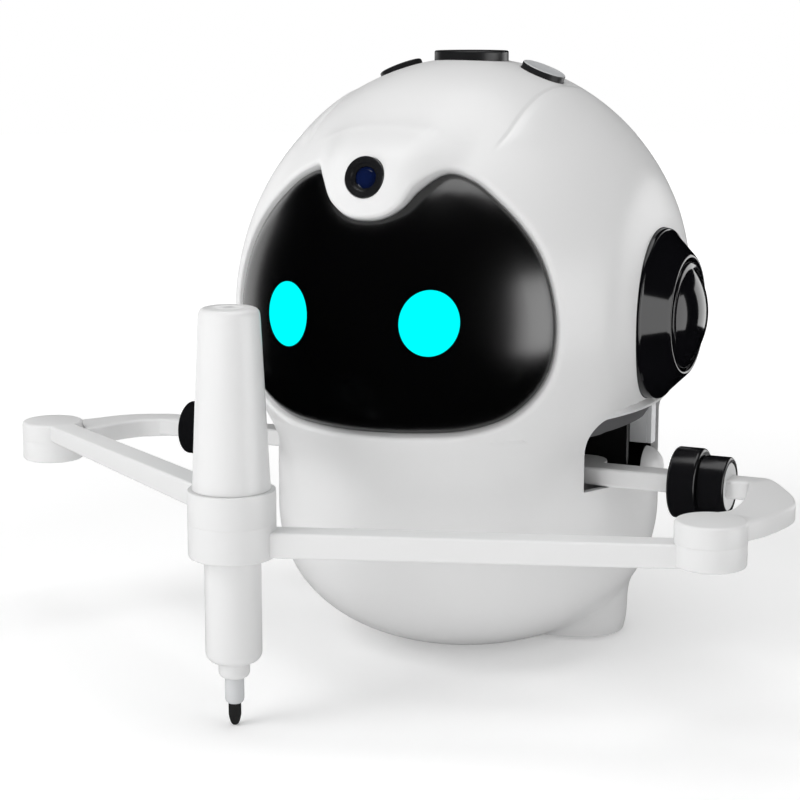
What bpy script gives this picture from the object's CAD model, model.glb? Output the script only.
import math

import bpy
import numpy as np
from mathutils import Matrix, Vector


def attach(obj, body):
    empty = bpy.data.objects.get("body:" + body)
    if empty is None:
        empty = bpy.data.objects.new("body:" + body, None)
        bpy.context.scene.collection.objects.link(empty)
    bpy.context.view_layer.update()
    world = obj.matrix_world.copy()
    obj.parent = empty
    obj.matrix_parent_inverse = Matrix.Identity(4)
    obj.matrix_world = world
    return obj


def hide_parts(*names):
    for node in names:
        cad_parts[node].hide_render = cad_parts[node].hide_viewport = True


# Desktop drawing robot: detailed shells, face, ears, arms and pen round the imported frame.
# Work is done in millimetres in the frame's own axes and turned to metres at the end.

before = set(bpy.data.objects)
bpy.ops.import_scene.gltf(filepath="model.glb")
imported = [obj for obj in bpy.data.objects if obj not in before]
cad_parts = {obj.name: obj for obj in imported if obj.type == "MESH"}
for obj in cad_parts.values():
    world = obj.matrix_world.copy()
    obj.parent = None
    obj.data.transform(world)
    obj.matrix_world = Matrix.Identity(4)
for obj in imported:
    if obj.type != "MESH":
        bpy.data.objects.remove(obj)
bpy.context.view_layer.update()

MM = 0.001
HEAD_A, HEAD_B, HEAD_Z = 67.0, 85.0, 104.0
HEAD_UP, HEAD_DOWN, HEAD_SHIFT = 74.0, 62.0, -1.0
BODY_A, BODY_B = 58.5, 63.0
BELLY_Z, BELLY_C, BELLY_POWER = 42.9, 44.5, 2.25
SHELL_LOW = 0.8
WALL = 2.2
SEAM_Y, SEAM_GAP = 38.0, 0.22
EYE_X, EYE_Z, EYE_RX, EYE_RZ = 21.8, 109.2, 7.7, 9.1
EAR_Z = 103.65
VISOR_HALF = [
    (0.0, 75.0), (16.0, 75.3), (28.5, 76.2), (38.2, 79.6), (45.2, 86.0), (49.4, 94.0), (50.9, 104.0),
    (49.9, 115.0), (46.3, 126.3), (41.0, 134.8), (33.9, 142.2), (26.8, 147.6), (19.8, 149.6),
    (14.4, 145.6), (10.8, 140.6), (6.0, 137.6), (0.0, 136.8),
]
VISOR_SINK, VISOR_THICK, VISOR_FIT = 0.7, 2.4, 0.993
RIM_BEVEL = 1.1
POCKET = 3.6


# ---- mesh helpers -----------------------------------------------------------------------------

def collect(name, verts, faces):
    """New mesh object from millimetre points."""
    mesh = bpy.data.meshes.new(name)
    mesh.from_pydata([tuple(v) for v in verts], [], [tuple(f) for f in faces])
    mesh.update()
    obj = bpy.data.objects.new(name, mesh)
    bpy.context.collection.objects.link(obj)
    return obj


def ring_solid(name, rings, close_start=True, close_end=True):
    """Closed mesh through rings of equal length; a ring of one point is a pole."""
    verts, faces, start = [], [], []
    for ring in rings:
        start.append(len(verts))
        verts.extend([tuple(p) for p in ring])
    for a in range(len(rings) - 1):
        n, m = len(rings[a]), len(rings[a + 1])
        i0, j0 = start[a], start[a + 1]
        if n == 1:
            faces += [(i0, j0 + (k + 1) % m, j0 + k) for k in range(m)]
        elif m == 1:
            faces += [(i0 + k, i0 + (k + 1) % n, j0) for k in range(n)]
        else:
            faces += [(i0 + k, i0 + (k + 1) % n, j0 + (k + 1) % n, j0 + k) for k in range(n)]
    if close_start and len(rings[0]) > 1:
        faces.append(tuple(range(start[0] + len(rings[0]) - 1, start[0] - 1, -1)))
    if close_end and len(rings[-1]) > 1:
        faces.append(tuple(range(start[-1], start[-1] + len(rings[-1]))))
    obj = collect(name, verts, faces)
    outward(obj)
    return obj


def outward(obj):
    """Turn the faces of a closed mesh outwards."""
    co = np.empty(len(obj.data.vertices) * 3)
    obj.data.vertices.foreach_get("co", co)
    co = co.reshape(-1, 3)
    obj.data.calc_loop_triangles()
    tri = np.empty(len(obj.data.loop_triangles) * 3, dtype=np.int32)
    obj.data.loop_triangles.foreach_get("vertices", tri)
    tri = tri.reshape(-1, 3)
    a, b, c = co[tri[:, 0]], co[tri[:, 1]], co[tri[:, 2]]
    if np.einsum("ij,ij->i", a, np.cross(b, c)).sum() < 0:
        obj.data.flip_normals()


def turned(name, profile, place=Matrix.Identity(4), segments=128):
    """Solid of revolution about Z from (radius, height) points, then placed."""
    rings = []
    for r, z in profile:
        if r < 1e-6:
            rings.append([(0, 0, z)])
        else:
            rings.append([(r * math.cos(t), r * math.sin(t), z)
                          for t in np.linspace(0, 2 * math.pi, segments, endpoint=False)])
    obj = ring_solid(name, rings)
    obj.data.transform(place)
    return obj


def smooth_profile(points, radius=0.5, steps=5):
    """Profile with each inner corner replaced by a small arc-like curve."""
    out = [points[0]]
    for before, here, after in zip(points, points[1:], points[2:]):
        p, q, r = (Vector(v) for v in (before, here, after))
        a, b = p - q, r - q
        reach = min(radius, a.length * 0.45, b.length * 0.45)
        s, e = q + a.normalized() * reach, q + b.normalized() * reach
        for k in range(steps + 1):
            t = k / steps
            out.append(tuple(s * (1 - t) ** 2 + q * 2 * t * (1 - t) + e * t ** 2))
    out.append(points[-1])
    return out


def prism(name, outline, low, high, place=Matrix.Identity(4)):
    """Straight prism over an outline in the local XY plane."""
    obj = ring_solid(name, [[(x, y, low) for x, y in outline], [(x, y, high) for x, y in outline]])
    obj.data.transform(place)
    return obj


def circle(cx, cy, r, n=64):
    return [(cx + r * math.cos(t), cy + r * math.sin(t)) for t in np.linspace(0, 2 * math.pi, n, endpoint=False)]


def rounded_box(cx, cy, w, h, r, n=10):
    """Rounded rectangle outline, anticlockwise."""
    out = []
    for sx, sy, a0 in ((1, -1, -90), (1, 1, 0), (-1, 1, 90), (-1, -1, 180)):
        for a in np.linspace(a0, a0 + 90, n):
            out.append((cx + sx * (w / 2 - r) + r * math.cos(math.radians(a)),
                        cy + sy * (h / 2 - r) + r * math.sin(math.radians(a))))
    return out


def boolean(obj, tool, operation, keep_tool=False):
    """Apply a boolean with a closed tool mesh; the tool is removed unless kept."""
    bpy.context.view_layer.update()
    mod = obj.modifiers.new("cut", "BOOLEAN")
    mod.operation, mod.solver, mod.object = operation, "MANIFOLD", tool
    mesh = bpy.data.meshes.new_from_object(obj.evaluated_get(bpy.context.evaluated_depsgraph_get()))
    obj.modifiers.clear()
    obj.data = mesh
    if not keep_tool:
        bpy.data.objects.remove(tool)
    return obj


def copy_of(obj, name):
    new = bpy.data.objects.new(name, obj.data.copy())
    bpy.context.collection.objects.link(new)
    return new


def joined(name, objs):
    """One object holding several separate closed meshes."""
    verts, faces = [], []
    for o in objs:
        base = len(verts)
        verts += [tuple(v.co) for v in o.data.vertices]
        faces += [tuple(base + i for i in p.vertices) for p in o.data.polygons]
        bpy.data.objects.remove(o)
    return collect(name, verts, faces)


def box_tool(low, high):
    outline = [(low[0], low[1]), (high[0], low[1]), (high[0], high[1]), (low[0], high[1])]
    return prism("tool", outline, low[2], high[2])


def finish_piece(obj, name, body, slot, material, *nodes, angle=32.0, extra=()):
    """Metres, shading, material, body and slot for a finished piece."""
    obj.name = name
    obj.data.transform(Matrix.Scale(MM, 4))
    obj.data.shade_smooth()
    obj.data.set_sharp_from_angle(angle=math.radians(angle))
    obj.data.materials.clear()
    for m in (material, *extra):
        obj.data.materials.append(m)
    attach(obj, body)
    if nodes:
        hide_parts(*nodes)
    return obj


# ---- materials --------------------------------------------------------------------------------

def plastic(name, colour, rough, speck=0.03, grain=900.0, bump=0.02, coat=0.0, specular=0.5, metal=0.0,
            cloud=0.02):
    """Moulded plastic: faint colour clouding, uneven gloss and a fine tool-mark grain."""
    mat = bpy.data.materials.new(name)
    mat.use_nodes = True
    nodes, links = mat.node_tree.nodes, mat.node_tree.links
    shader = nodes["Principled BSDF"]
    shader.inputs["Metallic"].default_value = metal
    shader.inputs["Specular IOR Level"].default_value = specular
    shader.inputs["Coat Weight"].default_value = coat
    shader.inputs["Coat Roughness"].default_value = 0.08
    where = nodes.new("ShaderNodeTexCoord")
    large = nodes.new("ShaderNodeTexNoise")
    large.inputs["Scale"].default_value = 34.0
    large.inputs["Detail"].default_value = 3.0
    links.new(where.outputs["Object"], large.inputs["Vector"])
    tone = nodes.new("ShaderNodeMix")
    tone.data_type = "RGBA"
    dark = [c * (1 - cloud) for c in colour]
    tone.inputs["A"].default_value = (*dark, 1)
    tone.inputs["B"].default_value = (*colour, 1)
    links.new(large.outputs["Fac"], tone.inputs["Factor"])
    links.new(tone.outputs["Result"], shader.inputs["Base Color"])
    fine = nodes.new("ShaderNodeTexNoise")
    fine.inputs["Scale"].default_value = grain
    fine.inputs["Detail"].default_value = 4.0
    links.new(where.outputs["Object"], fine.inputs["Vector"])
    gloss = nodes.new("ShaderNodeMapRange")
    gloss.inputs["To Min"].default_value = max(rough - speck, 0.02)
    gloss.inputs["To Max"].default_value = rough + speck
    links.new(large.outputs["Fac"], gloss.inputs["Value"])
    links.new(gloss.outputs["Result"], shader.inputs["Roughness"])
    relief = nodes.new("ShaderNodeBump")
    relief.inputs["Strength"].default_value = bump
    relief.inputs["Distance"].default_value = 0.0002
    links.new(fine.outputs["Fac"], relief.inputs["Height"])
    links.new(relief.outputs["Normal"], shader.inputs["Normal"])
    return mat


def glow(name, colour, strength):
    """Lit diffuser: even colour with a hint of the light source's grain behind it."""
    mat = bpy.data.materials.new(name)
    mat.use_nodes = True
    nodes, links = mat.node_tree.nodes, mat.node_tree.links
    shader = nodes["Principled BSDF"]
    shader.inputs["Base Color"].default_value = (0.0, 0.05, 0.05, 1)
    shader.inputs["Roughness"].default_value = 0.6
    shader.inputs["Specular IOR Level"].default_value = 0.0
    where = nodes.new("ShaderNodeTexCoord")
    grain = nodes.new("ShaderNodeTexNoise")
    grain.inputs["Scale"].default_value = 500.0
    links.new(where.outputs["Object"], grain.inputs["Vector"])
    tone = nodes.new("ShaderNodeMix")
    tone.data_type = "RGBA"
    tone.inputs["A"].default_value = (*[c * 0.97 for c in colour], 1)
    tone.inputs["B"].default_value = (*colour, 1)
    links.new(grain.outputs["Fac"], tone.inputs["Factor"])
    links.new(tone.outputs["Result"], shader.inputs["Emission Color"])
    shader.inputs["Emission Strength"].default_value = strength
    return mat


WHITE = plastic("white_shell", (0.80, 0.80, 0.80), 0.32, specular=0.3, bump=0.015)
WHITE_ARM = plastic("white_arm", (0.79, 0.79, 0.79), 0.38, bump=0.03)
LIP_GREY = plastic("lip_grey", (0.12, 0.12, 0.125), 0.5, bump=0.03)
INNER_WALL = plastic("inner_wall", (0.02, 0.02, 0.022), 0.6)
BLACK_GLOSS = plastic("black_gloss", (0.004, 0.004, 0.005), 0.09, speck=0.015, bump=0.0, specular=0.45)
VISOR_BLACK = plastic("visor_black", (0.001, 0.001, 0.0012), 0.24, speck=0.02, bump=0.0, specular=1.0)
BLACK_SATIN = plastic("black_satin", (0.006, 0.006, 0.007), 0.22, bump=0.02)
BUTTON_BLACK = plastic("button_black", (0.012, 0.012, 0.013), 0.35, bump=0.03)
BUTTON_GREY = plastic("button_grey", (0.56, 0.57, 0.58), 0.4, bump=0.05)
BAY_GREY = plastic("bay_grey", (0.85, 0.86, 0.87), 0.45, bump=0.03)
PEN_WHITE = plastic("pen_white", (0.80, 0.80, 0.80), 0.34, bump=0.02)
PEN_GREY = plastic("pen_grey", (0.66, 0.67, 0.68), 0.42, bump=0.03)
FELT = plastic("felt", (0.02, 0.02, 0.02), 0.95, grain=2600.0, bump=0.6, cloud=0.5)
RUBBER = plastic("rubber", (0.02, 0.02, 0.02), 0.85, bump=0.3)
STEEL = plastic("steel", (0.5, 0.5, 0.52), 0.28, metal=1.0, bump=0.05)
BEZEL = plastic("bezel", (0.012, 0.012, 0.013), 0.25, bump=0.02)
LENS = plastic("lens_glass", (0.004, 0.009, 0.045), 0.05, coat=1.0, bump=0.0)
BOARD_GREEN = plastic("board_green", (0.02, 0.12, 0.05), 0.4, bump=0.08, cloud=0.3)
CASE_BLUE = plastic("case_blue", (0.02, 0.03, 0.08), 0.35, bump=0.04)
WRAP_BLUE = plastic("wrap_blue", (0.05, 0.16, 0.45), 0.2, bump=0.02)
INNER_BLACK = plastic("inner_black", (0.012, 0.012, 0.013), 0.6, bump=0.05)
CYAN = glow("eye_light", (0.0, 1.0, 1.0), 1.0)

# CAD nodes that stay as they are, with their finish
NODE_MATERIAL = {
    "shell_screws": STEEL, "base_screws": STEEL, "servo_screws": STEEL, "guide_rods": STEEL,
    "elbow_pin_right": STEEL, "elbow_pin_left": STEEL, "usb_port": STEEL, "rubber_feet": RUBBER,
    "base_plate": WHITE_ARM, "chassis": INNER_BLACK, "lift_carriage": INNER_BLACK, "lift_cam": INNER_BLACK,
    "battery": WRAP_BLUE, "main_board": BOARD_GREEN, "eye_board_right": BOARD_GREEN,
    "eye_board_left": BOARD_GREEN, "button_board": BOARD_GREEN, "speaker": INNER_BLACK,
    "switch_body": INNER_BLACK, "power_switch": BUTTON_BLACK, "camera_module": INNER_BLACK,
    "shoulder_servo_right": CASE_BLUE, "shoulder_servo_left": CASE_BLUE, "lift_servo": CASE_BLUE,
    "side_frame_right": BAY_GREY, "side_frame_left": BAY_GREY, "pen_bush": PEN_WHITE,
}
for node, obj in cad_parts.items():
    obj.data.materials.clear()
    obj.data.materials.append(NODE_MATERIAL.get(node, WHITE_ARM))


# ---- head surface -----------------------------------------------------------------------------

def head_base(unit):
    """Point on the plain head form in each unit direction."""
    down = unit[:, 2] < 0
    height = np.where(down, HEAD_DOWN, HEAD_UP)
    return np.stack([unit[:, 0] * HEAD_A, unit[:, 1] * HEAD_B + HEAD_SHIFT, HEAD_Z + unit[:, 2] * height], 1)


def head_normal(points):
    height = np.where(points[:, 2] < HEAD_Z, HEAD_DOWN, HEAD_UP)
    n = np.stack([points[:, 0] / HEAD_A ** 2, (points[:, 1] - HEAD_SHIFT) / HEAD_B ** 2,
                  (points[:, 2] - HEAD_Z) / height ** 2], 1)
    return n / np.linalg.norm(n, axis=1)[:, None]


def head_unit(x, z, sign=-1.0):
    """Unit direction of the head point seen at x, z from the front."""
    height = np.where(z < HEAD_Z, HEAD_DOWN, HEAD_UP)
    ux, uz = x / HEAD_A, (z - HEAD_Z) / height
    return np.stack([ux, sign * np.sqrt(np.clip(1 - ux ** 2 - uz ** 2, 1e-9, 1)), uz], 1)


def smoothstep(a, b, v):
    t = np.clip((v - a) / (b - a), 0, 1)
    return t * t * (3 - 2 * t)


def brow_line(x):
    return 160.1 - 0.0079 * x ** 2


HOOD_Z = np.arange(130.0, 172.0, 0.1)
HOOD_RISE = np.interp(HOOD_Z, [136.5, 139, 141.3, 144, 146.3, 148.5, 151, 153.5, 156, 158.5, 161, 163.5, 167],
                      [0, 0.6, 2.2, 4.0, 5.1, 5.9, 6.2, 5.7, 4.5, 3.0, 1.6, 0.6, 0])
HOOD_RISE = np.convolve(HOOD_RISE, np.hanning(31) / np.hanning(31).sum(), mode="same")


def head_relief(p):
    """Displacement of the white head: camera hood, brow crease, temple grooves and soft cheeks."""
    x, y, z = p[:, 0], p[:, 1], p[:, 2]
    front = smoothstep(-20, -40, y)
    normal = head_normal(p)
    out = np.zeros_like(p)
    # hood over the camera, pushed forward
    rise = np.interp(z, HOOD_Z, HOOD_RISE)
    hood = rise * smoothstep(25.0, 9.0, np.abs(x)) * front
    out += hood[:, None] * np.array([0, -math.cos(math.radians(15)), math.sin(math.radians(15))])
    # crease along the brow
    off = z - brow_line(x)
    brow = 0.30 * np.exp(-np.abs(off) / 0.55) * smoothstep(27.5, 20, np.abs(x)) * front
    # groove and roll that run back over each temple
    along = smoothstep(153.5, 157.5, z) * smoothstep(22, 6, y)
    across = np.abs(x) - (30.1 - 1.2 * smoothstep(160, 153, z))
    groove = -0.32 * np.exp(-(across / 0.42) ** 2) * along
    roll = 0.4 * smoothstep(0.0, 2.6, across) * smoothstep(13.0, 3.6, across) * along
    out += (brow + groove + roll)[:, None] * normal
    # the sides are flatter round the ears
    flat = 2.0 * smoothstep(44.0, 25.0, np.hypot(y, z - EAR_Z)) * smoothstep(40.0, 52.0, np.abs(x))
    out[:, 0] -= np.sign(x) * flat
    return out


def visor_outline(count, grow=0.0, fit=1.0):
    """Smooth closed outline of the visor in X and Z, moved outwards by grow."""
    half = np.array(VISOR_HALF)
    half[:, 1] = EYE_Z + (half[:, 1] - EYE_Z) * fit
    half[:, 0] *= fit
    ring = np.vstack([half, half[-2:0:-1] * [-1, 1]])
    n = len(ring)
    fine = []
    for i in range(n):
        p0, p1, p2, p3 = (ring[(i + k - 1) % n] for k in range(4))
        d1, d2, d3 = (max(np.linalg.norm(b - a), 1e-6) ** 0.5 for a, b in ((p0, p1), (p1, p2), (p2, p3)))
        m1 = d2 * ((p1 - p0) / d1 - (p2 - p0) / (d1 + d2) + (p2 - p1) / d2)
        m2 = d2 * ((p2 - p1) / d2 - (p3 - p1) / (d2 + d3) + (p3 - p2) / d3)
        for t in np.linspace(0, 1, 60, endpoint=False):
            h00, h10 = 2 * t ** 3 - 3 * t ** 2 + 1, t ** 3 - 2 * t ** 2 + t
            h01, h11 = -2 * t ** 3 + 3 * t ** 2, t ** 3 - t ** 2
            fine.append(h00 * p1 + h10 * m1 + h01 * p2 + h11 * m2)
    fine = np.array(fine)
    step = np.linalg.norm(np.roll(fine, -1, 0) - fine, axis=1)
    run = np.concatenate([[0], np.cumsum(step)])
    at = np.linspace(0, run[-1], count, endpoint=False)
    closed = np.vstack([fine, fine[:1]])
    pts = np.stack([np.interp(at, run, closed[:, k]) for k in (0, 1)], 1)
    if grow:
        pts = pts + grow * outline_normal(pts)
    return pts


def outline_normal(pts):
    tangent = np.roll(pts, -2, 0) - np.roll(pts, 2, 0)
    normal = np.stack([tangent[:, 1], -tangent[:, 0]], 1)
    return normal / np.linalg.norm(normal, axis=1)[:, None]


def head_solid(count=840):
    """Whole outer head with the visor pocket, bevelled rim and relief."""
    edge = visor_outline(count)
    normal2 = outline_normal(edge)
    rings = [[(0.0, -HEAD_B + HEAD_SHIFT + POCKET, HEAD_Z)]]
    centre = np.array([0.0, HEAD_Z])

    def on_head(flat, depth, relief=True):
        base = head_base(head_unit(flat[:, 0], flat[:, 1]))
        inward = head_normal(base) * depth[:, None] if np.ndim(depth) else head_normal(base) * depth
        return base - inward + (head_relief(base) if relief else 0)

    for share in np.linspace(0.12, 0.985, 16):
        flat = centre + (edge - centre) * share
        rings.append(on_head(flat, POCKET, relief=False))
    rings.append(on_head(edge - normal2 * 0.02, POCKET, relief=False))
    # wall of the pocket, then the rounded edge
    for share in (0.66, 0.33, 0.0):
        blend = on_head(edge, RIM_BEVEL + (POCKET - RIM_BEVEL) * share, relief=False)
        lifted = on_head(edge, RIM_BEVEL + (POCKET - RIM_BEVEL) * share)
        rings.append(blend + (lifted - blend) * (1 - share))
    for angle in np.linspace(12, 90, 8):
        s = RIM_BEVEL * (1 - math.cos(math.radians(angle)))
        d = RIM_BEVEL * (1 - math.sin(math.radians(angle)))
        rings.append(on_head(edge + normal2 * s, d))
    # out to the silhouette and on to the back pole, in even angular steps
    start = head_unit(*(edge + normal2 * RIM_BEVEL).T)
    theta0 = np.arccos(np.clip(-start[:, 1], -1, 1))
    phi0 = np.unwrap(np.arctan2(start[:, 2], start[:, 0]))
    even = phi0[0] + np.linspace(0, 2 * math.pi, count, endpoint=False) * np.sign(phi0[-1] - phi0[0])
    levels = np.concatenate([np.linspace(0, 0.30, 46)[1:], np.linspace(0.30, 0.62, 40)[1:],
                             np.linspace(0.62, 1, 40)[1:-1]])
    for level in levels:
        theta = theta0 + (math.pi - theta0) * level
        phi = phi0 + (even - phi0) * smoothstep(0.0, 0.45, np.full(count, level))
        unit = np.stack([np.sin(theta) * np.cos(phi), -np.cos(theta), np.sin(theta) * np.sin(phi)], 1)
        base = head_base(unit)
        rings.append(base + head_relief(base))
    rings.append([(0.0, HEAD_B + HEAD_SHIFT, HEAD_Z)])
    return ring_solid("head_outer", rings)


def plain_head(inset, count=160, rows=110):
    rings = [[(0.0, -HEAD_B + HEAD_SHIFT + inset, HEAD_Z)]]
    for theta in np.linspace(0, math.pi, rows)[1:-1]:
        t = np.linspace(0, 2 * math.pi, count, endpoint=False)
        unit = np.stack([np.sin(theta) * np.cos(t), np.full(count, -np.cos(theta)), np.sin(theta) * np.sin(t)], 1)
        base = head_base(unit)
        rings.append(base - head_normal(base) * inset)
    rings.append([(0.0, HEAD_B + HEAD_SHIFT - inset, HEAD_Z)])
    return ring_solid("head_inner", rings)


def torso_solid(inset, low, top=72.0, count=360):
    """Superellipse belly under a straight, slightly oval torso."""
    rings = []
    heights = [low + (BELLY_Z - low) * math.sin(math.pi / 2 * s) ** 1.0 for s in np.linspace(0, 1, 70)]
    heights = sorted(set([round(h, 4) for h in heights])) + list(np.linspace(BELLY_Z, top, 14))[1:]
    for z in heights:
        drop = max(BELLY_Z - z, 0.0) / (BELLY_C - inset)
        share = max(1 - drop ** BELLY_POWER, 1e-4) ** (1 / BELLY_POWER)
        t = np.linspace(0, 2 * math.pi, count, endpoint=False)
        rings.append(np.stack([(BODY_A - inset) * share * np.cos(t), (BODY_B - inset) * share * np.sin(t),
                               np.full(count, z)], 1))
    return ring_solid("torso", rings)


def ball(centre, radii, low=None, count=96):
    """Ellipsoid, cut flat at height low."""
    rings = []
    start = -math.pi / 2
    if low is not None:
        start = math.asin((low - centre[2]) / radii[2])
    for a in np.linspace(start, math.pi / 2, 60):
        r = math.cos(a)
        if r < 1e-6:
            rings.append([(centre[0], centre[1], centre[2] + radii[2] * math.sin(a))])
            continue
        t = np.linspace(0, 2 * math.pi, count, endpoint=False)
        rings.append(np.stack([centre[0] + radii[0] * r * np.cos(t), centre[1] + radii[1] * r * np.sin(t),
                               np.full(count, centre[2] + radii[2] * math.sin(a))], 1))
    return ring_solid("ball", rings)


FOOT, FOOT_R = (33.0, 12.0, 8.0), (15.0, 15.0, 20.0)


def away(field, p):
    """Rough distance to a form's surface and its direction."""
    step = 0.02
    grad = np.stack([(field(p + d) - field(p - d)) / (2 * step) for d in np.eye(3) * step], 1)
    return field(p), np.maximum(np.linalg.norm(grad, axis=1), 1e-6), grad


def torso_field(p):
    drop = np.maximum(BELLY_Z - p[:, 2], 0) / BELLY_C
    rho = np.sqrt((p[:, 0] / BODY_A) ** 2 + (p[:, 1] / BODY_B) ** 2)
    return rho ** BELLY_POWER + drop ** BELLY_POWER - 1


def head_field(p):
    height = np.where(p[:, 2] < HEAD_Z, HEAD_DOWN, HEAD_UP)
    return np.sqrt((p[:, 0] / HEAD_A) ** 2 + ((p[:, 1] - HEAD_SHIFT) / HEAD_B) ** 2 +
                   ((p[:, 2] - HEAD_Z) / height) ** 2) - 1


def foot_field(p):
    return np.sqrt(((np.abs(p[:, 0]) - FOOT[0]) / FOOT_R[0]) ** 2 + ((p[:, 1] - FOOT[1]) / FOOT_R[1]) ** 2 +
                   ((p[:, 2] - FOOT[2]) / FOOT_R[2]) ** 2) - 1


def distance(field, p):
    value, size, _ = away(field, p)
    return value / size


def soft_min(a, b, k):
    h = np.maximum(k - np.abs(a - b), 0) / k
    return np.minimum(a, b) - h * h * k / 4


def body_distance(p):
    """Head, torso and feet run together: wide at the front, tight beside the arm openings."""
    turn = p[:, 1] / np.maximum(np.hypot(p[:, 0], p[:, 1]), 1e-6)
    blend = 1.0 + 9.0 * smoothstep(0.45, 0.85, -turn) + 3.0 * smoothstep(0.45, 0.85, turn)
    low = soft_min(distance(torso_field, p), distance(foot_field, p), 6.0)
    return soft_min(low, distance(head_field, p), blend)


def flow_together(obj):
    """Move the vertices around each join on to the softly blended surface."""
    count = len(obj.data.vertices)
    co = np.empty(count * 3)
    obj.data.vertices.foreach_get("co", co)
    co = co.reshape(-1, 3)
    near = np.where((co[:, 2] < 73.4) | (co[:, 2] < 78.0) & (np.abs(co[:, 0]) > 40.0))[0]
    p = co[near]
    floor_level = p[:, 2] < SHELL_LOW + 0.02
    for _ in range(5):
        value, size, grad = away(body_distance, p)
        grad[floor_level, 2] = 0
        size = np.maximum(np.linalg.norm(grad, axis=1), 0.3)
        p = p - np.clip(value / size, -1.5, 1.5)[:, None] * grad / size[:, None]
        p[:, 2] = np.maximum(p[:, 2], SHELL_LOW)
    co[near] = p
    obj.data.vertices.foreach_set("co", co.ravel())
    obj.data.update()


ALONG_X = Matrix(((0, 0, 1, 0), (1, 0, 0, 0), (0, 1, 0, 0), (0, 0, 0, 1)))      # local XY to world YZ
ALONG_Y = Matrix(((1, 0, 0, 0), (0, 0, -1, 0), (0, 1, 0, 0), (0, 0, 0, 1)))     # local XY to world XZ
SIDES = ((1, "right"), (-1, "left"))
BOSSES = [(47.5, 132.0), (-47.5, 132.0), (39.5, 30.0), (-39.5, 30.0)]


def camera_frame():
    tilt = Matrix.Rotation(math.radians(90 - 15), 4, "X")
    return Matrix.Translation((0, -75.4, 147.6)) @ tilt


def side_button_frame(side):
    z = HEAD_Z + HEAD_UP * (1 - (23.0 / HEAD_A) ** 2) ** 0.5
    slope = math.atan2(HEAD_UP ** 2 * 23.0, HEAD_A ** 2 * (z - HEAD_Z))
    return Matrix.Translation((side * 23.0, 0, z)) @ Matrix.Rotation(side * slope, 4, "Y")


shell = head_solid()
torso = torso_solid(0.0, SHELL_LOW, 72.5)
for side, _ in SIDES:
    boolean(torso, ball((side * FOOT[0], *FOOT[1:]), FOOT_R, low=SHELL_LOW), "UNION")
boolean(shell, torso, "UNION")
flow_together(shell)

cavity = plain_head(WALL + 1.6)
boolean(cavity, torso_solid(WALL, SHELL_LOW + WALL, 71.0), "UNION")
boolean(cavity, prism("tool", circle(0, 0, 1, 96), 30, 75, Matrix.Diagonal((51, 54, 1, 1))), "UNION")
boolean(cavity, joined("tool", [prism("t", circle(x, z, 4.2), -75, -SEAM_Y + 12, ALONG_Y)
                                for x, z in BOSSES]), "DIFFERENCE")
boolean(shell, cavity, "DIFFERENCE")

SLOT_OUTLINE = [(-33.0, 54.9), (26.0, 54.9)] + [
    (26.0 - 6.5 + 6.5 * math.cos(a), 75.7 - 6.5 + 6.5 * math.sin(a)) for a in np.linspace(0, math.pi / 2, 14)] + [
    (-33.0 + 3.6 - 3.6 * math.sin(a), 76.4 - 3.6 + 3.6 * math.cos(a)) for a in np.linspace(0, math.pi / 2, 14)]

cutters = []
for side, _ in SIDES:
    place = ALONG_X if side > 0 else Matrix.Diagonal((-1, 1, 1, 1)) @ ALONG_X
    ear_hole = prism("t", circle(0, EAR_Z, 25.5, 160), 57.0, 80.0, place)
    slot_hole = prism("t", SLOT_OUTLINE, 41.0, 80.0, place)
    outward(ear_hole)
    outward(slot_hole)
    # the liner behind the upper edge stays
    liner = plain_head(1.4)
    boolean(liner, box_tool((-70, -60, 70.6), (70, 60, 90)), "INTERSECT")
    boolean(slot_hole, liner, "DIFFERENCE")
    cutters += [ear_hole, slot_hole]
    cutters.append(turned("t", [(0, -7), (7.0, -7), (7.0, 8), (0, 8)], side_button_frame(side), 96))
cutters.append(turned("t", [(0, 168), (11.5, 168), (11.5, 190), (0, 190)]))
cutters.append(turned("t", [(0, -12), (5.95, -12), (5.95, 12), (0, 12)], camera_frame(), 96))
for x, z in BOSSES:
    cutters.append(prism("t", circle(x, z, 3.0), -90, -SEAM_Y - 3, ALONG_Y))
pitch = 4.2
for row in range(-2, 3):
    for col in range(5 - abs(row)):
        x = (col - (4 - abs(row)) / 2) * pitch
        cutters.append(prism("t", circle(x, 44 + row * pitch * 0.866, 0.9, 24), -70, -54, ALONG_Y))
cutters.append(prism("t", rounded_box(-9, 22, 9.6, 3.9, 1.8), -65, -45, ALONG_Y))
cutters.append(prism("t", rounded_box(12, 22, 7.2, 3.6, 0.4), -65, -45, ALONG_Y))
cutters.append(prism("t", [(17.3 * math.cos(t), 18.3 * math.sin(t)) for t in
                           np.linspace(0, 2 * math.pi, 96, endpoint=False)], -2, 6))
for cutter in cutters:
    outward(cutter)
    boolean(shell, cutter, "DIFFERENCE")

for side, _ in SIDES:
    lobe = ball((side * 55.6, 5.0, 56.0), (6.0, 6.0, 6.0))
    boolean(lobe, torso_solid(WALL, SHELL_LOW + WALL, 71.0), "DIFFERENCE")
    boolean(shell, lobe, "UNION")

rear = copy_of(shell, "rear")
boolean(shell, box_tool((-100, -120, -5), (100, SEAM_Y, 220)), "INTERSECT")
boolean(rear, box_tool((-100, SEAM_Y + SEAM_GAP, -5), (100, 120, 220)), "INTERSECT")


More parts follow.
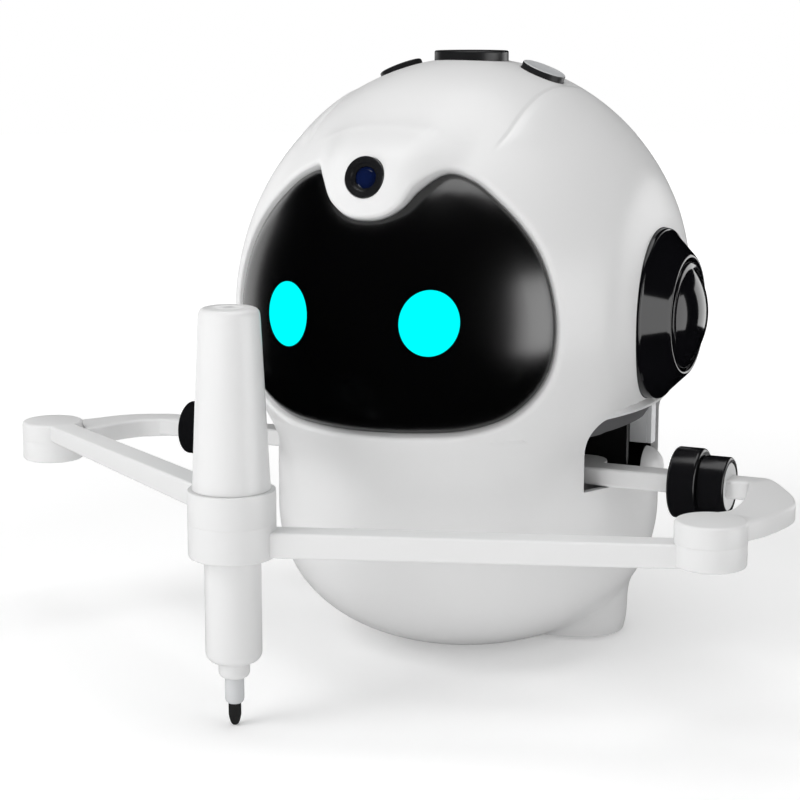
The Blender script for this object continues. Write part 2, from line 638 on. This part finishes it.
def paint_inside(obj):
    """Second material on faces that belong to the inside of the shells."""
    mesh = obj.data
    n = len(mesh.polygons)
    centre = np.empty(n * 3)
    normal = np.empty(n * 3)
    mesh.polygons.foreach_get("center", centre)
    mesh.polygons.foreach_get("normal", normal)
    centre, normal = centre.reshape(-1, 3) / MM, normal.reshape(-1, 3)
    radial = np.stack([centre[:, 0], centre[:, 1] - HEAD_SHIFT,
                       (centre[:, 2] - np.where(centre[:, 2] > 70, HEAD_Z, 42)) * 0.8], 1)
    inside = np.einsum("ij,ij->i", radial, normal) < -0.3 * np.linalg.norm(radial, axis=1)
    head_e = np.sqrt((centre[:, 0] / HEAD_A) ** 2 + ((centre[:, 1] - HEAD_SHIFT) / HEAD_B) ** 2 +
                     ((centre[:, 2] - HEAD_Z) / np.where(centre[:, 2] < HEAD_Z, HEAD_DOWN, HEAD_UP)) ** 2)
    body_e = np.sqrt((centre[:, 0] / BODY_A) ** 2 + (centre[:, 1] / BODY_B) ** 2)
    deep = np.where(centre[:, 2] > 76, head_e < 0.975, (body_e < 0.97) & (head_e < 1.0) | (body_e < 0.97) &
                    (centre[:, 2] > 8))
    deep &= inside
    lip = (np.abs(centre[:, 0]) > 41) & (centre[:, 2] > 70) & (centre[:, 2] < 77.2) & \
          (np.abs(centre[:, 1] + 3.5) < 29.4) & (head_e < 0.988)
    mesh.polygons.foreach_set("material_index", np.where(lip, 2, deep).astype(np.int32))


front_piece = finish_piece(shell, "shell_front", "robot_body", "white_shell", WHITE,
                           "head_front_shell", "torso_front_shell", extra=(INNER_WALL, LIP_GREY))
rear_piece = finish_piece(rear, "shell_rear", "robot_body", "white_shell", WHITE,
                          "head_rear_shell", "torso_rear_shell", extra=(INNER_WALL, LIP_GREY))
paint_inside(shell)
paint_inside(rear)

# ---- visor and eyes ---------------------------------------------------------------------------

def visor_solid(count=600):
    edge = visor_outline(count, fit=VISOR_FIT)
    centre = np.array([0.0, HEAD_Z])
    normal2 = outline_normal(edge)

    def sheet(flat, depth):
        base = head_base(head_unit(flat[:, 0], flat[:, 1]))
        return base - head_normal(base) * depth

    def drop(flat):
        gap = np.linalg.norm(flat[:, None] - edge[None], axis=2).min(axis=1)
        return (VISOR_SINK + 1.3 * np.maximum(1 - gap / 6.0, 0) ** 2)[:, None]

    rings = [[(0.0, -HEAD_B + HEAD_SHIFT + VISOR_SINK, HEAD_Z)]]
    for share in 1 - np.linspace(0.98, 0.122, 70) ** 2:
        flat = centre + (edge - centre) * share
        rings.append(sheet(flat, drop(flat)))
    roll = 0.5
    for angle in np.linspace(90, 0, 7):
        s = roll * (1 - math.cos(math.radians(angle)))
        d = roll * (1 - math.sin(math.radians(angle)))
        rings.append(sheet(edge - normal2 * s, drop(edge - normal2 * s) + d))
    rings.append(sheet(edge, VISOR_SINK + VISOR_THICK))
    for share in np.linspace(0.97, 0.1, 12):
        rings.append(sheet(centre + (edge - centre) * share, VISOR_SINK + VISOR_THICK))
    rings.append([(0.0, -HEAD_B + HEAD_SHIFT + VISOR_SINK + VISOR_THICK, HEAD_Z)])
    return ring_solid("visor_sheet", rings)


def eye_solid(side, count=160):
    """Disc that lies on the visor, a hair proud of it."""
    t = np.linspace(0, 2 * math.pi, count, endpoint=False)

    def ring(share, depth):
        base = head_base(head_unit(side * EYE_X + share * EYE_RX * np.cos(t), EYE_Z + share * EYE_RZ * np.sin(t)))
        return base - head_normal(base) * depth

    rings = [ring(share, VISOR_SINK - 0.05) for share in (0.002, 0.15, 0.3, 0.45, 0.6, 0.75, 0.9, 0.985)]
    rings += [ring(1, VISOR_SINK - 0.02), ring(1, VISOR_SINK + 0.4), ring(0.002, VISOR_SINK + 0.4)]
    return ring_solid("eye", rings)


finish_piece(visor_solid(), "face_visor", "robot_body", "black_gloss", VISOR_BLACK, "visor", angle=50)
for side, label in SIDES:
    finish_piece(eye_solid(side), f"eye_disc_{label}", "robot_body", "eye_light", CYAN, f"eye_{label}")

# ---- camera -----------------------------------------------------------------------------------

bezel = [(3.1, -3.0), (3.1, -0.9), (3.5, -0.75), (4.0, -0.45), (4.1, -0.2), (4.5, -0.05), (5.2, 0.3), (5.6, 0.3),
         (5.8, 0.05), (5.8, -7.0), (3.1, -7.0)]
ring = turned("bezel", smooth_profile(bezel, 0.2) + [bezel[0]], camera_frame(), 96)
finish_piece(ring, "camera_ring", "robot_body", "metal_bezel", BEZEL, "camera_bezel", angle=40)
lens = [(0, -3.0), (2.95, -3.0), (2.95, -1.1)] + [
    (2.95 * math.sin(a), -1.9 + 1.5 * math.cos(a)) for a in np.linspace(1.15, 0, 14)]
finish_piece(turned("lens", lens, camera_frame(), 96), "camera_eye", "robot_body", "lens_glass", LENS,
             "camera_lens", angle=60)

# ---- ears -------------------------------------------------------------------------------------

EAR_RING = [(0, 57.6), (24.2, 57.6), (25.3, 58.4), (25.35, 62.2), (25.1, 62.75), (24.7, 62.9), (24.3, 63.2),
            (18.4, 69.3), (17.6, 69.95), (16.9, 69.95), (16.4, 69.3), (16.3, 66.9), (0, 66.9)]
EAR_CAP = [(0, 66.95), (15.9, 66.95), (15.9, 69.2), (15.6, 70.0)]
EAR_DOME = [(24.0 * math.sin(a), 50.9 + 24.0 * math.cos(a)) for a in np.linspace(0.63, 0, 26)]
for side, label in SIDES:
    place = Matrix.Translation((0, 0, EAR_Z)) @ Matrix.Rotation(math.radians(side * 90), 4, "Y")
    pod = turned("ear", smooth_profile(EAR_RING, 0.45, 6), place, 200)
    finish_piece(pod, f"ear_ring_{label}", "robot_body", "black_gloss", BLACK_GLOSS, f"ear_pod_{label}", angle=60)
    dome = [(14.9, 70.3)] + [(r, z) for r, z in EAR_DOME if r < 14.4]
    cap = turned("ear", smooth_profile(EAR_CAP, 0.5) + dome, place, 200)
    finish_piece(cap, f"ear_dome_{label}", "robot_body", "black_gloss", BLACK_GLOSS, f"ear_cap_{label}", angle=60)

# ---- buttons ----------------------------------------------------------------------------------

def button_profile(r, top, flange_z, stem_end, dish):
    body = [(0, stem_end), (2.0, stem_end), (2.0, flange_z), (r + 1.2, flange_z), (r + 1.2, flange_z + 1.0),
            (r, flange_z + 1.0), (r, top), (r - 1.6, top), (r - 2.2, top - dish)]
    return smooth_profile(body, 0.55, 5) + [(r * 0.4, top - dish * 1.15), (0, top - dish * 1.2)]


finish_piece(turned("button", button_profile(11.2, 180.0, 171.2, 162.0, 0.25)), "top_button", "button_centre",
             "black_satin", BUTTON_BLACK, "button_centre")
for side, label in SIDES:
    place = side_button_frame(side)
    key = turned("button", button_profile(6.7, 1.7, -4.8, -11.4, 0.1), place, 96)
    top_finish = BUTTON_GREY if side > 0 else BUTTON_BLACK
    key_slot = "grey_button" if side > 0 else "black_satin"
    finish_piece(key, f"side_button_{label}", f"button_{label}", key_slot, BUTTON_BLACK, f"button_{label}",
                 extra=(top_finish,))
    axis = place.to_3x3() @ Vector((0, 0, 1))
    origin = place.translation * MM
    for face in key.data.polygons:
        height = (face.center - origin).dot(axis) / MM
        if height > 1.45 and face.normal.dot(axis) > 0.6:
            face.material_index = 1

# ---- pen --------------------------------------------------------------------------------------

PEN = Matrix.Translation((-21.5, -113.3, 0))
barrel = [(0, 103.9), (7.4, 103.9), (7.75, 103.5), (7.75, 22.0)] + [
    (5.15 + 2.6 * math.cos(a), 21.2 - 2.9 * math.sin(a)) for a in np.linspace(0.08, math.pi / 2, 12)] + [
    (4.7, 18.25), (4.4, 18.15), (4.3, 17.9), (4.3, 15.7)] + [
    (3.0 + 1.3 * math.cos(a), 15.5 - 1.7 * math.sin(a)) for a in np.linspace(0.15, math.pi / 2, 8)] + [(0, 13.8)]
finish_piece(turned("pen", barrel, PEN, 128), "marker_barrel", "pen", "pen_white", PEN_WHITE, "pen_barrel")
collar = [(0, 13.6), (2.6, 13.6), (2.65, 13.4), (2.65, 7.6), (2.5, 7.0), (2.1, 6.55), (1.9, 6.4), (0, 6.4)]
finish_piece(turned("tip", collar, PEN, 96), "marker_collar", "pen", "pen_grey", PEN_GREY, "pen_tip")
nib = [(0, 6.35), (1.7, 6.35), (1.75, 6.2), (1.75, 3.0), (1.6, 2.2), (1.3, 1.1), (0.95, 0.35), (0.6, 0.1), (0, 0.06)]
finish_piece(turned("nib", nib, PEN, 64), "marker_nib", "pen", "felt", FELT, "pen_nib", angle=70)
cap = [(7.85, 66.37), (10.5, 66.37), (10.58, 66.45), (10.58, 66.7)] + [
    (10.5 - 2.3 * (z - 67.4) / 48.1, z) for z in np.linspace(70, 112.6, 12)] + [
    (8.25, 113.6), (8.0, 114.4), (7.5, 115.0), (6.8, 115.3), (5.0, 115.42), (0, 115.45), (0, 104.4), (7.85, 104.4)]
finish_piece(turned("cap", cap + [cap[0]], PEN, 160), "marker_cap", "pen", "pen_white", PEN_WHITE, "pen_cap")

# ---- arms -------------------------------------------------------------------------------------
BAR_Y = {1: -20.8, -1: -11.0}
BAR_Z, BAR_T, BAR_W = 58.0, 5.4, 8.5
ELBOW = {1: (101.6, -80.5), -1: (-126.9, -41.6)}
PEN_XY = (-21.5, -113.3)
BAR_START = {1: 87.7, -1: 91.9}
BAR_END = {1: 97.5, -1: 103.0}
PLUG = {1: (77.5, 89.75), -1: (81.7, 93.95)}
HOOK_EDGE = {
    1: ([(88.2, -16.6), (93.5, -17.4), (99.5, -21.6), (105.4, -29.6), (110.6, -38.0), (114.9, -46.5), (116.9, -54.0),
         (116.0, -63.0), (113.7, -72.0), (110.9, -78.5)],
        [(96.0, -74.5), (102.2, -68.5), (103.0, -60.0), (102.4, -52.0), (101.0, -44.0), (99.0, -35.0),
         (96.4, -28.6), (92.5, -25.6), (88.2, -25.0)]),
    -1: ([(-96.0, -6.8), (-103.7, -5.6), (-109.5, -6.4), (-115.0, -9.3), (-120.0, -14.0), (-124.0, -20.5),
          (-128.5, -27.0), (-134.5, -36.0)],
         [(-117.8, -38.5), (-114.2, -31.0), (-111.6, -23.5), (-107.6, -17.4), (-102.0, -14.6), (-95.5, -14.6)]),
}
HOOK_Z = {1: (57.6, 63.0), -1: (54.6, 60.4)}
LOWER_DISC, UPPER_DISC = (50.9, 57.33), (57.35, 63.1)
LOWER_RING, UPPER_RING = (47.7, 57.33), (57.35, 66.33)
FOREARM_BAR = {1: ((50.6, 57.1), (48.4, 55.4)), -1: ((57.8, 62.9), (58.0, 65.0))}
SOFT, SHARP = 0.9, 0.02


def curve(points, steps=14):
    """Smooth open curve through the points."""
    pts = np.array(points, float)
    run = np.concatenate([[0], np.cumsum(np.linalg.norm(np.diff(pts, axis=0), axis=1))])
    slope = np.gradient(pts, run, axis=0)
    out = []
    for i in range(len(pts) - 1):
        span = run[i + 1] - run[i]
        for t in np.linspace(0, 1, steps, endpoint=False):
            out.append((2 * t ** 3 - 3 * t ** 2 + 1) * pts[i] + (t ** 3 - 2 * t ** 2 + t) * span * slope[i] +
                       (3 * t ** 2 - 2 * t ** 3) * pts[i + 1] + (t ** 3 - t ** 2) * span * slope[i + 1])
    return np.array(out + [pts[-1]])


def soft_slab(outline, low, high, round_low=SOFT, round_high=SOFT):
    """Plate over an outline, with its lower and upper edges rounded."""
    pts = np.array(outline, float)
    area = 0.5 * np.sum(pts[:, 0] * np.roll(pts[:, 1], -1) - np.roll(pts[:, 0], -1) * pts[:, 1])
    if area < 0:
        pts = pts[::-1]
    ahead = np.roll(pts, -1, 0) - np.roll(pts, 1, 0)
    normal = np.stack([ahead[:, 1], -ahead[:, 0]], 1)
    normal /= np.maximum(np.linalg.norm(normal, axis=1), 1e-9)[:, None]
    rings = []
    for angle in np.linspace(0, math.pi / 2, 6):
        rings.append((round_low * (1 - math.sin(angle)), low + round_low * (1 - math.cos(angle))))
    for angle in np.linspace(math.pi / 2, 0, 6):
        rings.append((round_high * (1 - math.sin(angle)), high - round_high * (1 - math.cos(angle))))
    return ring_solid("slab", [[(*xy, z) for xy in pts - normal * inset] for inset, z in rings])


def bar_between(start, end, near, far, width=BAR_W):
    """Bar with rounded long edges; near and far give its bottom and top at each end."""
    start, end = np.array(start, float), np.array(end, float)
    along = (end - start) / np.linalg.norm(end - start)
    across = np.array([-along[1], along[0]])
    rings = []
    for at, (bottom, top) in ((start, near), (end, far)):
        section = rounded_box(0, (bottom + top) / 2, width, top - bottom, SOFT, 8)
        rings.append([(*(at + across * u), z) for u, z in section])
    return ring_solid("bar", rings)


def spread(points, count):
    """The same curve with its points at even spacing."""
    run = np.concatenate([[0], np.cumsum(np.linalg.norm(np.diff(points, axis=0), axis=1))])
    at = np.linspace(0, run[-1], count)
    return np.stack([np.interp(at, run, points[:, k]) for k in (0, 1)], 1)


def swept_hook(outer, inner, low, high, count=90):
    """Flat hook between two plan curves, with every long edge rounded."""
    rings = []
    rise = (low + high) / 2 - BAR_Z
    for k, (a, b) in enumerate(zip(spread(curve(outer), count), spread(curve(inner)[::-1], count))):
        across = (b - a) / np.linalg.norm(b - a)
        root = 1 - smoothstep(0.03, 0.30, k / count)
        section = rounded_box(0, (low + high) / 2 - rise * root, np.linalg.norm(b - a), high - low, SOFT, 8)
        rings.append([(*((a + b) / 2 + across * u), z) for u, z in section])
    return ring_solid("hook", rings)


for side, label in SIDES:
    elbow = ELBOW[side]
    hook = swept_hook(*HOOK_EDGE[side], *HOOK_Z[side])
    if side < 0:
        boolean(hook, prism("tool", circle(*elbow, 10.3, 96), 57.33, 90), "DIFFERENCE")
    disc_z, rounding = (UPPER_DISC, (SHARP, SOFT)) if side > 0 else (LOWER_DISC, (SOFT, SHARP))
    boolean(hook, soft_slab(circle(*elbow, 9.56, 128), *disc_z, *rounding), "UNION")
    level = (BAR_Z - BAR_T / 2, BAR_Z + BAR_T / 2)
    y = BAR_Y[side]
    boolean(hook, bar_between((side * BAR_START[side], y), (side * BAR_END[side], y), level, level), "UNION")
    place = Matrix.Translation((0, y, BAR_Z)) @ Matrix.Rotation(math.radians(side * 90), 4, "Y")
    low_x, high_x = PLUG[side]
    boolean(hook, turned("plug", [(0, low_x), (7.0, low_x), (7.0, high_x - 0.3), (6.7, high_x), (0, high_x)],
                         place, 96), "UNION")
    boolean(hook, prism("tool", circle(*elbow, 2.06, 48), 40, 62.4 if side > 0 else 70), "DIFFERENCE")
    if side < 0:
        boolean(hook, prism("tool", circle(*elbow, 3.66, 48), 40, 52.5), "DIFFERENCE")
    finish_piece(hook, f"hook_{label}", f"{label}_upper_arm", "white_arm", WHITE_ARM, f"hook_arm_{label}")

for side, label in SIDES:
    elbow = ELBOW[side]
    disc_z, ring_z = (LOWER_DISC, LOWER_RING) if side > 0 else (UPPER_DISC, UPPER_RING)
    rounding = (SOFT, SHARP) if side > 0 else (SHARP, SOFT)
    ring_rounding = (SOFT, SHARP) if side > 0 else (SHARP, 0.35)
    reach = math.hypot(PEN_XY[0] - elbow[0], PEN_XY[1] - elbow[1])
    along = Vector((PEN_XY[0] - elbow[0], PEN_XY[1] - elbow[1])) / reach
    near, far = Vector(elbow) + along * 4, Vector(elbow) + along * (reach - 8.96)
    arm = bar_between(near, far, *FOREARM_BAR[side])
    boolean(arm, soft_slab(circle(*elbow, 9.56, 128), *disc_z, *rounding), "UNION")
    boolean(arm, soft_slab(circle(*PEN_XY, 11.96, 160), *ring_z, *ring_rounding), "UNION")
    boolean(arm, prism("tool", circle(*PEN_XY, 9.06 if side > 0 else 10.4, 128), 40, 80), "DIFFERENCE")
    if side > 0:
        boolean(arm, prism("tool", circle(*elbow, 2.06, 48), 40, 70), "DIFFERENCE")
        boolean(arm, prism("tool", circle(*elbow, 3.66, 48), 40, 52.5), "DIFFERENCE")
    else:
        boolean(arm, prism("tool", circle(*elbow, 2.06, 48), 40, 61.7), "DIFFERENCE")
    finish_piece(arm, f"link_{label}", f"{label}_forearm", "white_arm", WHITE_ARM, f"forearm_{label}")

for side, label in SIDES:
    for node, finish in (("arm_socket", BLACK_SATIN), ("lock_ring", BLACK_SATIN)):
        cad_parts[f"{node}_{label}"].data.materials.clear()
        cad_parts[f"{node}_{label}"].data.materials.append(finish)

# ---- screen behind the arm openings -----------------------------------------------------------
screen = box_tool((-1.0, -34.0, 41.0), (1.0, 27.0, 73.5))
finish_piece(screen, "bay_screen", "lift_carriage", "inner_black", INNER_BLACK)

# ---- floor, light and camera ------------------------------------------------------------------

floor_mat = bpy.data.materials.new("paper_floor")
floor_mat.use_nodes = True
floor_mat.node_tree.nodes["Principled BSDF"].inputs["Base Color"].default_value = (0.96, 0.96, 0.96, 1)
floor_mat.node_tree.nodes["Principled BSDF"].inputs["Emission Color"].default_value = (1, 1, 1, 1)
where = floor_mat.node_tree.nodes.new("ShaderNodeTexCoord")
away_from = floor_mat.node_tree.nodes.new("ShaderNodeVectorMath")
away_from.operation = "LENGTH"
lift = floor_mat.node_tree.nodes.new("ShaderNodeMapRange")
lift.inputs["From Min"].default_value, lift.inputs["From Max"].default_value = 0.2, 1.1
lift.inputs["To Min"].default_value, lift.inputs["To Max"].default_value = 0.17, 0.9
floor_mat.node_tree.links.new(where.outputs["Object"], away_from.inputs[0])
floor_mat.node_tree.links.new(away_from.outputs["Value"], lift.inputs["Value"])
floor_mat.node_tree.links.new(lift.outputs["Result"],
                              floor_mat.node_tree.nodes["Principled BSDF"].inputs["Emission Strength"])
floor_mat.node_tree.nodes["Principled BSDF"].inputs["Roughness"].default_value = 0.7
floor_mat.node_tree.nodes["Principled BSDF"].inputs["Specular IOR Level"].default_value = 0.2
floor = prism("floor", circle(0, 0, 2600, 96), -6, -0.02)
floor.data.transform(Matrix.Scale(MM, 4))
floor.data.materials.append(floor_mat)

world = bpy.data.worlds.new("studio")
bpy.context.scene.world = world
world.use_nodes = True
world.node_tree.nodes["Background"].inputs["Color"].default_value = (1, 1, 1, 1)
world.node_tree.nodes["Background"].inputs["Strength"].default_value = 0.38
world.cycles_visibility.glossy = False
floor.visible_glossy = False


def area(name, place, aim, size, power, diffuse=True, glossy=True):
    data = bpy.data.lights.new(name, "AREA")
    data.shape = "RECTANGLE"
    data.size, data.size_y = size
    data.energy = power
    lamp = bpy.data.objects.new(name, data)
    bpy.context.collection.objects.link(lamp)
    lamp.location = place
    lamp.rotation_euler = (Vector(aim) - Vector(place)).to_track_quat("-Z", "Y").to_euler()
    lamp.visible_diffuse, lamp.visible_glossy, lamp.visible_camera = diffuse, glossy, False


area("key", (-0.55, -0.75, 0.85), (0, 0, 0.09), (0.6, 0.6), 4.3, glossy=False)
area("side", (0.85, -0.25, 0.40), (0, 0, 0.10), (0.25, 0.7), 0.45, glossy=False)
area("fill", (-0.35, -1.0, 0.22), (0, 0, 0.10), (0.6, 0.5), 2.3, glossy=False)
area("top", (0.05, 0.10, 1.05), (0, 0, 0.1), (0.8, 0.8), 3.9)
area("right_softbox", (0.80, -0.02, 0.10), (0, 0, 0.10), (0.62, 0.50), 2.9, diffuse=False)
area("left_softbox", (-0.75, 0.42, 0.12), (0, 0, 0.10), (0.50, 0.50), 0.7, diffuse=False)
area("rear_softbox", (0.42, 0.75, 0.10), (0, 0, 0.10), (0.45, 0.40), 1.25, diffuse=False)

# pale wall all round, seen by the camera only
wall = ring_solid("backdrop", [[(2500 * math.cos(t), 2500 * math.sin(t), z)
                                for t in np.linspace(0, 2 * math.pi, 96, endpoint=False)] for z in (-60, 2400)],
                  close_start=False, close_end=False)
wall.data.transform(Matrix.Scale(MM, 4))
paper = bpy.data.materials.new("backdrop")
paper.use_nodes = True
paper.node_tree.nodes["Principled BSDF"].inputs["Base Color"].default_value = (0, 0, 0, 1)
paper.node_tree.nodes["Principled BSDF"].inputs["Specular IOR Level"].default_value = 0.0
paper.node_tree.nodes["Principled BSDF"].inputs["Emission Color"].default_value = (1, 1, 1, 1)
paper.node_tree.nodes["Principled BSDF"].inputs["Emission Strength"].default_value = 1.0
wall.data.materials.append(paper)
wall.visible_glossy = wall.visible_diffuse = False
for name in ("marker_barrel", "marker_cap", "hook_right", "hook_left", "link_right", "link_left"):
    bpy.data.objects[name].visible_glossy = False

camera = bpy.data.cameras.new("camera")
camera.lens = 94.2
camera.sensor_width = 36.0
view = bpy.data.objects.new("camera", camera)
bpy.context.collection.objects.link(view)
view.location = (0.2477, -0.5914, 0.1951)
view.rotation_euler = (math.radians(79.17), 0, math.radians(24.66))
bpy.context.scene.camera = view
bpy.context.scene.view_settings.view_transform = "Standard"
